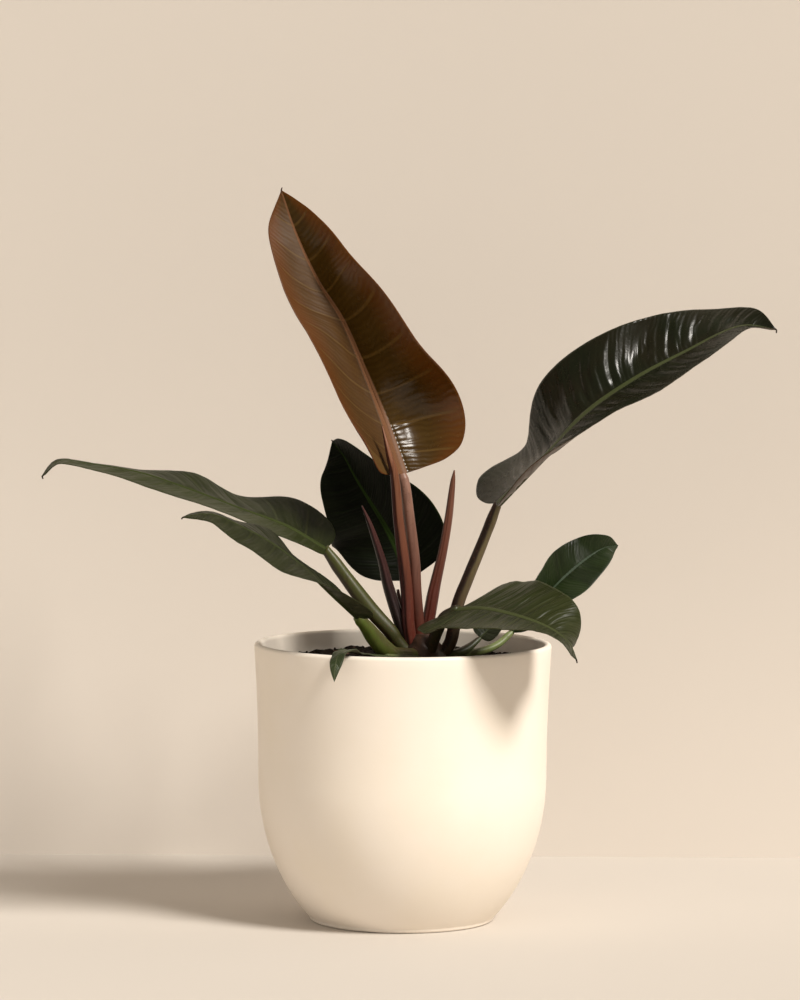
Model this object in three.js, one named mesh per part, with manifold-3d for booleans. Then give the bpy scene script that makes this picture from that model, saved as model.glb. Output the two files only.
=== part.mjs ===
// A potted imperial red philodendron: nine leaves and four pointed sheaths on one short stem,
// standing in soil in a round bellied pot.
// Millimetres, +Z up. The pot stands on z = 0 around the Z axis, and the plant is seen from -Y.
import * as THREE from 'three';
import { mergeVertices } from 'three/addons/utils/BufferGeometryUtils.js';
import Module from 'manifold-3d';

const wasm = await Module();
wasm.setup();

// Pot
const POT_RADIUS = 82.5;
const POT_HEIGHT = 154;
const POT_WALL = 4;
const POT_FLOOR = 7;
const POT_SIDES = 48;
const BELLY_RADIUS = 79.8;
const BELLY_HEIGHT = 80;
const BELLY_DEPTH = 102;
const FOOT_CORNER = 2;

// Soil
const SOIL_LEVEL = 141;
const SOIL_LUMP = 1.6;

// Stem crown, a short stub that all the leaves grow from. Its profile is a list of [radius, height].
const CROWN_CENTRE = [11, -3];
const CROWN_PROFILE = [[10, 112], [13, 120], [13, 139], [14, 145], [9, 155], [5.4, 159]];
const CROWN_SIDES = 28;

// Clearance between pieces that touch
const GAP = 0.3;

// Leaf blades
const BLADE_THICKNESS = 0.8;
const RIDGE_AT_BASE = 2.3;
const RIDGE_AT_TIP = 0.4;
const RIDGE_HEIGHT = 0.8;
const FULL_RIDGE_WIDTH = 30;
const VEIN_SWEEP = 1.6;
const LOBE_SPAN = 0.4;
const WAVE_LAG = 0.35;

// The flat outline of half a blade, from the petiole to the drip tip. Each row is a side vein: where
// it leaves the midrib, where it meets the edge (both as shares of the length), and how far out the
// edge lies there (as a share of the greatest half width).
const OUTLINE = [
  [0, 0, 0.05],
  [0.003, 0.002, 0.3],
  [0.012, 0.01, 0.62],
  [0.035, 0.05, 0.87],
  [0.11, 0.15, 1],
  [0.26, 0.33, 0.93],
  [0.45, 0.53, 0.79],
  [0.65, 0.73, 0.6],
  [0.81, 0.87, 0.36],
  [0.92, 0.95, 0.16],
  [0.99, 1, 0.012],
];

// The leaves. midrib: points from the petiole to the tip. left and right: how far each half is
// turned from facing -Y, in degrees, evenly spaced from petiole to tip; a plus sign brings its edge
// nearer to -Y. curl: how much further the left and the right half turn between rib and edge.
// lobes: how far each half's base reaches back past the petiole, as a share of the length. wave:
// height of the edge's waves, how many, and where they start. petiole: points from the crown up to
// the blade. thickness: the petiole's radius along it.
const LEAVES = {
  upright: {
    midrib: [
      [-1, 2, 247], [-10, 8, 273], [-21, 13, 301], [-34, 18, 331],
      [-48, 23, 353], [-60, 28, 378], [-69, 36, 403],
    ],
    halfWidth: 44,
    left: [76, 70, 64, 59, 58, 52, 10],
    right: [-10, 0, 32, 40, 38, 33, 30],
    curl: [50, 10],
    lobes: [0, 0],
    wave: [0.8, 3, 0.1],
    petiole: [[11, -1, 140], [9, 1, 158], [7, 0, 181], [6, 0, 200], [3, 0, 224], [1, 1, 240]],
    thickness: [3.8, 3.6, 3.3, 3.1, 3, 2.8, 2.5],
    rows: 22,
    columns: 5,
    color: 0x6a3a14,
    petioleColor: 0x9a5040,
  },
  right: {
    midrib: [
      [52, 0, 231], [76, -2, 256], [100, 0, 281], [127, 4, 300],
      [155, 8, 315], [184, 10, 329], [205, 7, 328],
    ],
    halfWidth: 40,
    left: [-60, -75, -36, -22, -18, -46, 10],
    right: [97, 94, 82, 74, 76, 86, 105],
    curl: [20, 20],
    lobes: [0.04, 0],
    wave: [0.8, 4, 0.3],
    petiole: [[16, -4, 144], [26, -3, 154], [30, -3, 175], [36, -3, 191], [43, -2, 208]],
    thickness: [3.6, 3.6, 3.5, 3.3, 3.1, 2.6],
    rows: 22,
    columns: 5,
    color: 0x1f2015,
    petioleColor: 0x3a2a1c,
  },
  left: {
    midrib: [
      [-43, -8, 206], [-65, -10, 219], [-91, -12, 229], [-117, -15, 239],
      [-143, -19, 248], [-169, -24, 253], [-188, -27, 255], [-197, -29, 247],
    ],
    halfWidth: 33,
    left: [88, 83, 86, 82, 82, 86, 88, 80],
    right: [-62, -64, -84, -74, -90, -90, -84, -70],
    curl: [10, 10],
    lobes: [0, 0.02],
    wave: [1, 3, 0],
    petiole: [[8, -6, 142], [-3, -8, 155], [-7, -9, 161], [-17, -9, 172], [-28, -9, 186]],
    thickness: [3.8, 3.9, 4, 4.2, 4, 2.8],
    rows: 20,
    columns: 4,
    color: 0x2c3018,
    petioleColor: 0x4c5a24,
  },
  low_left: {
    midrib: [
      [-25, -40, 172], [-37, -52, 184], [-52, -62, 199], [-69, -70, 213],
      [-86, -77, 223], [-102, -83, 230], [-117, -88, 229],
    ],
    halfWidth: 29,
    left: [112, 110, 94, 72, 70, 72, 76],
    right: [-80, -90, -90, -82, -88, -86, -66],
    curl: [10, 10],
    lobes: [-0.08, 0],
    wave: [0.8, 3, 0.4],
    petiole: [[9, -8, 147], [-4, -22, 149], [-10, -28, 153], [-16, -32, 160], [-20, -36, 166]],
    thickness: [4.4, 4.8, 5, 4.6, 3.8, 2.6],
    rows: 20,
    columns: 4,
    color: 0x2a2f1a,
    petioleColor: 0x5a7030,
  },
  back: {
    midrib: [
      [3, 32, 186], [-4, 44, 203], [-11, 57, 216], [-19, 70, 228],
      [-27, 82, 240], [-34, 92, 252], [-41, 100, 260],
    ],
    halfWidth: 35,
    left: [40, 32, 15, 0, 0, 0, 0],
    right: [25, 30, 42, 56, 65, 74, 75],
    curl: [15, 15],
    lobes: [0, 0],
    wave: [0.7, 3, 0.6],
    petiole: [[10, 3, 142], [7, 13, 158], [5, 20, 172]],
    thickness: [3.6, 3.5, 3.2, 2.5],
    rows: 18,
    columns: 4,
    color: 0x141710,
    petioleColor: 0x3d3522,
  },
  right_back: {
    midrib: [
      [61, 30, 157], [72, 38, 167], [83, 46, 179], [94, 53, 189],
      [105, 60, 197], [114, 66, 202], [122, 72, 203],
    ],
    halfWidth: 19,
    left: [60, 60, 45, 15, 0, 30, 10],
    right: [75, 70, 50, 33, 36, 40, 40],
    curl: [10, 10],
    lobes: [0, 0],
    wave: [0.5, 2, 0.2],
    petiole: [[14, 1, 147], [27, 8, 147], [40, 16, 147], [52, 24, 150]],
    thickness: [2.6, 2.4, 2.3, 2.2, 1.7],
    rows: 16,
    columns: 4,
    color: 0x28361a,
    petioleColor: 0x8a9a5c,
  },
  front: {
    midrib: [
      [30, -28, 175], [42, -42, 177], [54, -55, 176], [68, -67, 173],
      [80, -76, 168.5], [88.5, -81, 162], [92.5, -82, 153.5],
    ],
    halfWidth: 34,
    left: [-76, -70, -54, -48, -48, -84, -88],
    right: [80, 74, 73, 74, 82, 83, 76],
    curl: [10, 10],
    lobes: [0, 0.09],
    wave: [1, 3, 0.5],
    petiole: [[14, -8, 144], [16, -11, 153], [19, -15, 162], [23, -20, 170]],
    thickness: [3.6, 3.6, 3.5, 3.3, 2.6],
    rows: 20,
    columns: 4,
    color: 0x3b3c26,
    petioleColor: 0x40421f,
  },
  rim: {
    midrib: [
      [-9, -39, 150.5], [-17, -52, 152], [-25, -65, 154.5], [-30, -75, 157],
      [-34, -84, 156], [-36, -90, 150], [-36.5, -92, 142],
    ],
    halfWidth: 7,
    left: [95, 95, 110, 110, 60, 10, 0],
    right: [-95, -92, -100, -105, -60, -10, 0],
    curl: [10, 10],
    lobes: [0, 0],
    wave: [0.2, 2, 0],
    petiole: [[11, -10, 146], [6, -20, 147], [-2, -30, 149]],
    thickness: [2, 1.9, 1.7, 1.2],
    rows: 16,
    columns: 3,
    color: 0x2a3018,
    petioleColor: 0x6a7038,
  },
  inner: {
    midrib: [[43, 7, 156], [48, 9, 161], [53, 12, 166], [58, 14, 170], [62, 16, 173]],
    halfWidth: 8,
    left: [-20, -20, -20, -20, -20],
    right: [50, 50, 50, 50, 50],
    curl: [0, 0],
    lobes: [0, 0],
    wave: [0.2, 2, 0],
    petiole: [[16, -4, 146], [26, -2, 147], [35, 2, 150]],
    thickness: [2.4, 2.6, 2.6, 1.2],
    rows: 12,
    columns: 3,
    color: 0x1c2112,
    petioleColor: 0x4a5a2a,
  },
};

// The pointed sheaths that new leaves come out of, from the crown to the point
const SHEATHS = {
  front: {
    path: [
      [6, -5, 144], [3, -6, 164], [2, -5, 182], [0, -6, 200],
      [-3, -7, 224], [-5, -10, 246], [-8, -11, 258], [-12, -9, 274],
    ],
    thickness: [3.6, 3.6, 3.5, 3.4, 3, 2.6, 1.8, 0.4],
  },
  right: {
    path: [
      [12, 1, 144], [13, 5, 158], [16, 6, 177], [18, 7, 187],
      [22, 8, 205], [25, 9, 223], [27, 10, 241], [28, 10, 249],
    ],
    thickness: [3.8, 3.7, 3.6, 3.2, 2.6, 2.3, 1.6, 0.4],
  },
  left: {
    path: [
      [6, -3, 144], [0, -4, 160], [-6, -3, 178], [-9, -3, 188],
      [-12, -3, 200], [-18, -4, 218], [-23, -5, 230],
    ],
    thickness: [3.4, 3.4, 3.4, 3.1, 2.5, 1.6, 0.4],
  },
  short: {
    path: [[7, 2, 144], [2, 3, 155], [-1, 4, 169], [-3, 5, 183]],
    thickness: [2.6, 2.6, 2.2, 0.8],
  },
};
const SHEATH_COLOR = 0x7a3226;

const TUBE_SIDES = 10;
const TUBE_STEPS = 12;

// A smooth curve through evenly spaced values, which are numbers or points
function curveAt(values, share) {
  const last = values.length - 1;
  const place = THREE.MathUtils.clamp(share, 0, 1) * last;
  const index = Math.min(Math.floor(place), last - 1);
  const f = place - index;
  const blend = (a, b, before, after) =>
    a * (1 + 2 * f) * (1 - f) ** 2
    + (b - before) / 2 * f * (1 - f) ** 2
    + b * f * f * (3 - 2 * f)
    + (after - a) / 2 * f * f * (f - 1);
  const at = (i, k) => (k === null ? values[i] : values[i][k]);
  const one = (k) => {
    const a = at(index, k);
    const b = at(index + 1, k);
    const before = index > 0 ? at(index - 1, k) : 2 * a - b;
    const after = index + 2 <= last ? at(index + 2, k) : 2 * b - a;
    return blend(a, b, before, after);
  };
  return Array.isArray(values[0]) ? values[0].map((_, k) => one(k)) : one(null);
}

const pointAt = (points, share) => new THREE.Vector3(...curveAt(points, share));

// A point on the midrib, which runs on straight past its two ends
function midribAt(points, share) {
  const inside = THREE.MathUtils.clamp(share, 0, 1);
  const step = inside === 1 ? -0.01 : 0.01;
  const start = pointAt(points, inside);
  const slope = pointAt(points, inside + step).sub(start).divideScalar(step);
  return start.addScaledVector(slope, share - inside);
}

// Along the curve, across it in the plane that faces -Y, and away from -Y
function frameAt(points, share) {
  const inside = THREE.MathUtils.clamp(share, 0, 1);
  const behind = midribAt(points, inside - 0.004);
  const along = midribAt(points, inside + 0.004).sub(behind).normalize();
  const across = along.clone().cross(new THREE.Vector3(0, 1, 0)).normalize();
  const away = across.clone().cross(along);
  return { along, across, away };
}

// Where a point of the flat blade lies on the bent leaf. share runs along the midrib, and out is the
// distance from it in millimetres, plus on the left half and minus on the right.
function bladePoint(leaf, share, out) {
  const half = Math.sign(out) || 1;
  const reach = Math.abs(out);
  const curl = THREE.MathUtils.degToRad(leaf.curl[half > 0 ? 0 : 1]) + 1e-6;
  const middle = THREE.MathUtils.degToRad(curveAt(half > 0 ? leaf.left : leaf.right, share));
  const root = middle - curl / 2;
  const turn = root + curl * reach / leaf.halfWidth;
  const radius = leaf.halfWidth / curl;
  const { across, away } = frameAt(leaf.midrib, share);
  const [height, count, start] = leaf.wave;
  const phase = 2 * Math.PI * (count * share + start + (half > 0 ? 0 : WAVE_LAG));
  const lift = height * (reach / leaf.halfWidth) ** 2 * Math.sin(phase);
  const aside = radius * (Math.sin(turn) - Math.sin(root)) - lift * Math.sin(turn);
  const forward = radius * (Math.cos(root) - Math.cos(turn)) + lift * Math.cos(turn);
  return midribAt(leaf.midrib, share)
    .addScaledVector(across, half * aside)
    .addScaledVector(away, -forward);
}

// One closed mesh from two matching grids of points, the second one under the first
function shellGeometry(upper, lower) {
  const rows = upper.length;
  const columns = upper[0].length;
  const vertices = [...upper.flat(), ...lower.flat()].flatMap((p) => p.toArray());
  const top = (i, j) => i * columns + j;
  const bottom = (i, j) => rows * columns + top(i, j);
  const triangles = [];
  for (let i = 0; i < rows - 1; i += 1) {
    for (let j = 0; j < columns - 1; j += 1) {
      triangles.push(top(i, j), top(i + 1, j), top(i + 1, j + 1));
      triangles.push(top(i, j), top(i + 1, j + 1), top(i, j + 1));
      triangles.push(bottom(i, j), bottom(i + 1, j + 1), bottom(i + 1, j));
      triangles.push(bottom(i, j), bottom(i, j + 1), bottom(i + 1, j + 1));
    }
  }
  const wall = (a, b, c, d) => triangles.push(a, b, c, a, c, d);
  for (let i = 0; i < rows - 1; i += 1) {
    wall(top(i, 0), bottom(i, 0), bottom(i + 1, 0), top(i + 1, 0));
    wall(top(i + 1, columns - 1), bottom(i + 1, columns - 1), bottom(i, columns - 1), top(i, columns - 1));
  }
  for (let j = 0; j < columns - 1; j += 1) {
    wall(top(0, j + 1), bottom(0, j + 1), bottom(0, j), top(0, j));
    wall(top(rows - 1, j), bottom(rows - 1, j), bottom(rows - 1, j + 1), top(rows - 1, j + 1));
  }
  const geometry = new THREE.BufferGeometry();
  geometry.setAttribute('position', new THREE.Float32BufferAttribute(vertices, 3));
  geometry.setIndex(triangles);
  return geometry;
}

// A leaf blade: a bent, waved sheet with a rib along its middle
function bladeGeometry(leaf) {
  const middle = [];
  const halfThickness = [];
  for (let i = 0; i <= leaf.rows; i += 1) {
    const [foot, edge, outShare] = curveAt(OUTLINE, i / leaf.rows);
    const width = outShare * leaf.halfWidth;
    const scale = Math.min(1, leaf.halfWidth / FULL_RIDGE_WIDTH);
    const taper = THREE.MathUtils.lerp(RIDGE_AT_BASE, RIDGE_AT_TIP, foot);
    const ridge = Math.min(taper * scale, 0.8 * width);
    const row = [];
    const thick = [];
    for (let j = -leaf.columns; j <= leaf.columns; j += 1) {
      const step = Math.abs(j);
      const reach = step === 0 ? 0 : ridge + (width - ridge) * (step - 1) / (leaf.columns - 1);
      const sweep = (reach / width) ** VEIN_SWEEP;
      const lobe = leaf.lobes[j < 0 ? 1 : 0] * Math.sin(Math.PI * Math.min(1, i / leaf.rows / LOBE_SPAN));
      const share = foot + (edge - foot) * sweep - lobe * sweep ** 2;
      row.push(bladePoint(leaf, share, (Math.sign(j) || 1) * reach));
      thick.push(BLADE_THICKNESS / 2 + (step === 0 ? ridge * RIDGE_HEIGHT : 0));
    }
    middle.push(row);
    halfThickness.push(thick);
  }
  const upper = [];
  const lower = [];
  middle.forEach((row, i) => {
    upper.push([]);
    lower.push([]);
    row.forEach((point, j) => {
      const before = middle[Math.max(i - 1, 0)][j];
      const after = middle[Math.min(i + 1, middle.length - 1)][j];
      const leftward = row[Math.min(j + 1, row.length - 1)];
      const rightward = row[Math.max(j - 1, 0)];
      const normal = after.clone().sub(before).cross(leftward.clone().sub(rightward)).normalize();
      upper[i].push(point.clone().addScaledVector(normal, halfThickness[i][j]));
      lower[i].push(point.clone().addScaledVector(normal, -halfThickness[i][j]));
    });
  });
  return shellGeometry(upper, lower);
}

// A round stalk of changing thickness along a path, with both ends closed. endFrame turns its last
// ring, so that it meets a blade squarely.
function stalkGeometry({ path, thickness, endFrame }, extra = 0) {
  const steps = TUBE_STEPS;
  const vertices = [];
  const triangles = [];
  for (let i = 0; i <= steps; i += 1) {
    const share = i / steps;
    const centre = midribAt(path, share);
    const { across, away } = i === steps && endFrame ? endFrame : frameAt(path, share);
    const radius = curveAt(thickness, share) + extra;
    for (let k = 0; k < TUBE_SIDES; k += 1) {
      const angle = 2 * Math.PI * k / TUBE_SIDES;
      const point = centre.clone()
        .addScaledVector(across, radius * Math.cos(angle))
        .addScaledVector(away, radius * Math.sin(angle));
      vertices.push(...point.toArray());
    }
  }
  const at = (i, k) => i * TUBE_SIDES + k % TUBE_SIDES;
  for (let i = 0; i < steps; i += 1) {
    for (let k = 0; k < TUBE_SIDES; k += 1) {
      triangles.push(at(i, k), at(i + 1, k), at(i + 1, k + 1));
      triangles.push(at(i, k), at(i + 1, k + 1), at(i, k + 1));
    }
  }
  for (let k = 1; k < TUBE_SIDES - 1; k += 1) {
    triangles.push(at(0, 0), at(0, k), at(0, k + 1));
    triangles.push(at(steps, 0), at(steps, k + 1), at(steps, k));
  }
  const geometry = new THREE.BufferGeometry();
  geometry.setAttribute('position', new THREE.Float32BufferAttribute(vertices, 3));
  geometry.setIndex(triangles);
  return geometry;
}

function toSolid(geometry) {
  const bare = geometry.clone();
  bare.deleteAttribute('normal');
  bare.deleteAttribute('uv');
  const merged = mergeVertices(bare, 1e-4);
  return new wasm.Manifold(new wasm.Mesh({
    numProp: 3,
    vertProperties: new Float32Array(merged.attributes.position.array),
    triVerts: new Uint32Array(merged.index.array),
  }));
}

function toGeometry(solid) {
  const { vertProperties, triVerts } = solid.getMesh();
  const geometry = new THREE.BufferGeometry();
  geometry.setAttribute('position', new THREE.Float32BufferAttribute(vertProperties, 3));
  geometry.setIndex([...triVerts]);
  return geometry;
}

// The largest body left of a piece that its neighbours have been cut out of
function cutBy(solid, neighbours) {
  const left = neighbours.reduce((rest, neighbour) => rest.subtract(neighbour), solid);
  return left.decompose().reduce((best, body) => (body.volume() > best.volume() ? body : best));
}

// The pot's outer radius: an elliptical belly with a wall above it that opens slightly
function potRadius(z) {
  if (z < BELLY_HEIGHT) {
    return BELLY_RADIUS * Math.sqrt(1 - ((BELLY_HEIGHT - z) / BELLY_DEPTH) ** 2);
  }
  const rise = (z - BELLY_HEIGHT) / (POT_HEIGHT - BELLY_HEIGHT);
  return BELLY_RADIUS + (POT_RADIUS - BELLY_RADIUS) * rise * rise;
}

// Heights up the wall, closer together where the belly bends most
const wallHeights = (from, to, count) =>
  Array.from({ length: count + 1 }, (_, i) => from + (to - from) * (i / count) ** 1.5);

function potGeometry() {
  const lip = POT_WALL / 2;
  const outer = wallHeights(FOOT_CORNER, POT_HEIGHT - lip, 12).map((z) => [potRadius(z), z]);
  const inner = wallHeights(POT_FLOOR, POT_HEIGHT - lip, 7).map((z) => [potRadius(z) - POT_WALL, z]);
  const lipCentre = potRadius(POT_HEIGHT - lip) - lip;
  const arc = [1, 2, 3].map((i) => {
    const angle = Math.PI * i / 4;
    return [lipCentre + lip * Math.cos(angle), POT_HEIGHT - lip + lip * Math.sin(angle)];
  });
  const foot = [[0, 0], [potRadius(0) - FOOT_CORNER, 0]];
  const profile = [...foot, ...outer, ...arc, ...inner.reverse(), [0, POT_FLOOR]];
  return new THREE.LatheGeometry(profile.map(([r, z]) => new THREE.Vector2(r, z)), POT_SIDES);
}

// The height of the soil's lumpy surface
function soilHeight(x, y) {
  const lumps = Math.sin(x * 0.23 + 1.3) * Math.cos(y * 0.19 - 0.4) + 0.6 * Math.sin(x * 0.41 + y * 0.37);
  return SOIL_LEVEL + SOIL_LUMP * lumps / 1.6;
}

// The soil fills the pot up to its lumpy surface, and has a plain hole where the stem crown stands
function soilGeometry() {
  const foot = POT_FLOOR + GAP;
  const side = wallHeights(foot, SOIL_LEVEL, 7).map((z) => [potRadius(z) - POT_WALL - 3 * GAP, z]);
  const topRadius = side.at(-1)[0];
  const rings = [5, 4, 3, 2, 1].map((i) => [topRadius * i / 6, SOIL_LEVEL]);
  const profile = [[0, foot], ...side, ...rings, [0, SOIL_LEVEL]];
  const geometry = new THREE.LatheGeometry(profile.map(([r, z]) => new THREE.Vector2(r, z)), POT_SIDES);
  const position = geometry.attributes.position;
  for (let i = 0; i < position.count; i += 1) {
    if (position.getY(i) > SOIL_LEVEL - 0.01) {
      position.setY(i, soilHeight(position.getX(i), -position.getZ(i)));
    }
  }
  return geometry;
}

// LatheGeometry turns its profile about Y, and this stands it up on Z
const stood = (geometry) => geometry.clone().rotateX(Math.PI / 2);

// The stem crown, or a shape that stands out from it by extra
function crownGeometry(extra = 0) {
  const side = CROWN_PROFILE.map(([radius, height]) => new THREE.Vector2(radius + extra, height));
  side.at(0).y -= extra;
  side.at(-1).y += extra;
  const profile = [new THREE.Vector2(0, side.at(0).y), ...side, new THREE.Vector2(0, side.at(-1).y)];
  return stood(new THREE.LatheGeometry(profile, CROWN_SIDES)).translate(...CROWN_CENTRE, 0);
}

function materialOf(color, roughness, metalness = 0) {
  return new THREE.MeshStandardMaterial({ color, roughness, metalness });
}

const plant = new THREE.Group();

function addPiece(name, geometry, color, roughness) {
  const piece = new THREE.Mesh(geometry, materialOf(color, roughness));
  piece.name = name;
  plant.add(piece);
}

const crownHole = toSolid(crownGeometry(GAP));

addPiece('pot', stood(potGeometry()), 0xf0e4d0, 0.6);
addPiece('potting_soil', toGeometry(toSolid(stood(soilGeometry())).subtract(crownHole)), 0x1c130c, 0.95);
addPiece('stem_crown', crownGeometry(), 0x3a1c12, 0.7);

// The stalks crowd together at the crown. Each is cut clear of the crown and of those placed before it.
const placed = [crownHole];

function addStalk(name, stalk, color) {
  const piece = cutBy(toSolid(stalkGeometry(stalk)), placed);
  addPiece(name, toGeometry(piece), color, 0.4);
  placed.push(toSolid(stalkGeometry(stalk, GAP)));
}

for (const [name, leaf] of Object.entries(LEAVES)) {
  const endFrame = frameAt(leaf.midrib, 0);
  const end = midribAt(leaf.midrib, 0).addScaledVector(endFrame.along, -GAP);
  const path = [...leaf.petiole, end.toArray()];
  addStalk(`${name}_petiole`, { path, thickness: leaf.thickness, endFrame }, leaf.petioleColor);
  addPiece(`${name}_blade`, bladeGeometry(leaf), leaf.color, 0.3);
}
for (const [name, sheath] of Object.entries(SHEATHS)) {
  addStalk(`${name}_sheath`, sheath, SHEATH_COLOR);
}

export default plant;
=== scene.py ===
"""Dresses a potted imperial red philodendron: veined blades, grooved stalks, soil and a ceramic pot."""

import math
import random

import bmesh
import bpy
import numpy as np
from bpy.props import FloatProperty, FloatVectorProperty, IntProperty, PointerProperty, StringProperty
from bpy.types import Operator, Panel, PropertyGroup
from mathutils import Matrix, Vector, noise


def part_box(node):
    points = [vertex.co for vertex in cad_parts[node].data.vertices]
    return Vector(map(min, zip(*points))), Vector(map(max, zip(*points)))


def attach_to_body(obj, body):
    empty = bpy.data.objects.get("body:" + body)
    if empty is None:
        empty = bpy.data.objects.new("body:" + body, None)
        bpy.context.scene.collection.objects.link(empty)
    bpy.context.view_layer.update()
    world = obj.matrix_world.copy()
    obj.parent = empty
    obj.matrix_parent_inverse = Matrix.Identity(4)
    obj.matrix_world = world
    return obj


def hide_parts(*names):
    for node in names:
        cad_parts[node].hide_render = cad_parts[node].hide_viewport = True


bl_info = {
    "name": "Potted imperial red philodendron",
    "version": (1, 0, 0),
    "blender": (4, 5, 0),
    "location": "View3D > Sidebar > Plant",
    "description": "Makes a young philodendron with veined leaves in a ceramic pot, and its studio",
    "category": "Add Mesh",
}

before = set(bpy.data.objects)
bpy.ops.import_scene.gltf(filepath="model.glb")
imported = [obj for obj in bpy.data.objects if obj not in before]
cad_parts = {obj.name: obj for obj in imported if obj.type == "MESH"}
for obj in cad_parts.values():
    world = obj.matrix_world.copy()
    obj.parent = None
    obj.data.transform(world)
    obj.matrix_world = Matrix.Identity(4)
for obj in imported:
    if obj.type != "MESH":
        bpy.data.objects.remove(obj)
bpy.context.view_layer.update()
POT_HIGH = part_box("pot")[1]

MM = 0.001
FAR = np.array([0.0, 1.0, 0.0])
FINISHED = {"FINISHED"}

FULL_WIDTH = 44  # Half a full-grown blade's width, in millimetres
OUTLINE_LENGTH = 4.4  # The flat outline's length beside its half width
OUTLINE_SAMPLES = 800
LEAF_SEED = 3.7  # How far apart the random lumps of two leaves are drawn
EXTRA_ROWS = 40  # Rows of faces that a blade has besides one every row_step
SPIKE_ROWS = 8  # Rows of faces in the drip tip
RIB_COLUMNS = 8  # Columns of faces over each half of the midrib
VEIN_SWEEP = 1.6  # How the side veins bend towards the tip
VEIN_CROWDING = 0.85  # How the side veins crowd towards the base
VEIN_WIDTH = 0.35  # In millimetres
PLEATS = 2.6  # Between two side veins
FINE_VEINS = 6  # Between two side veins
LOBE_SPAN = 0.4  # The share of a blade that its base lobes bend
WAVE_LAG = 0.35  # How much later the right edge waves, in waves
SWELL_REACH = 12  # How far from the midrib the large swells are whole, in millimetres
PATH_END = 0.985  # From here on, a path's slope is measured backwards
PATH_STEP = 0.01  # The share of a path over which its slope is measured
POT_SIDES = 160
CROWN_SIDES = 64
CROWN_ROWS = 40
STALK_FACES = (40, 110)  # Round a petiole, and along it
SHEATH_FACES = (48, 130)
SOIL_RINGS = 60
CRUMB_SEED = 7
SOIL_GAP = 0.5 * MM  # Between the soil's side and the pot's wall
SOIL_FOOT = 0.3 * MM  # Between the soil's foot and the pot's floor
WALL_PLACE = 0.23  # How far behind the plant the backdrop stands
WALL_HEIGHT = 2.5
WALL_FADE = 0.35  # The height at which the backdrop's painted light, lighter towards the floor, fades out
PAPER_REACH = 8  # To each side
MERGE = 1e-6  # Corners nearer than this become one

# The flat outline of half a blade, from the petiole to the drip tip. Each row is a side vein: where it
# leaves the midrib, where it meets the edge, and how far out the edge lies there.
OUTLINE = [
    (0, 0, 0.05), (0.003, 0.002, 0.3), (0.012, 0.01, 0.62), (0.035, 0.05, 0.87), (0.11, 0.15, 1),
    (0.26, 0.33, 0.93), (0.45, 0.53, 0.79), (0.65, 0.73, 0.6), (0.81, 0.87, 0.36), (0.92, 0.95, 0.16),
    (0.99, 1, 0.012),
]

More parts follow.
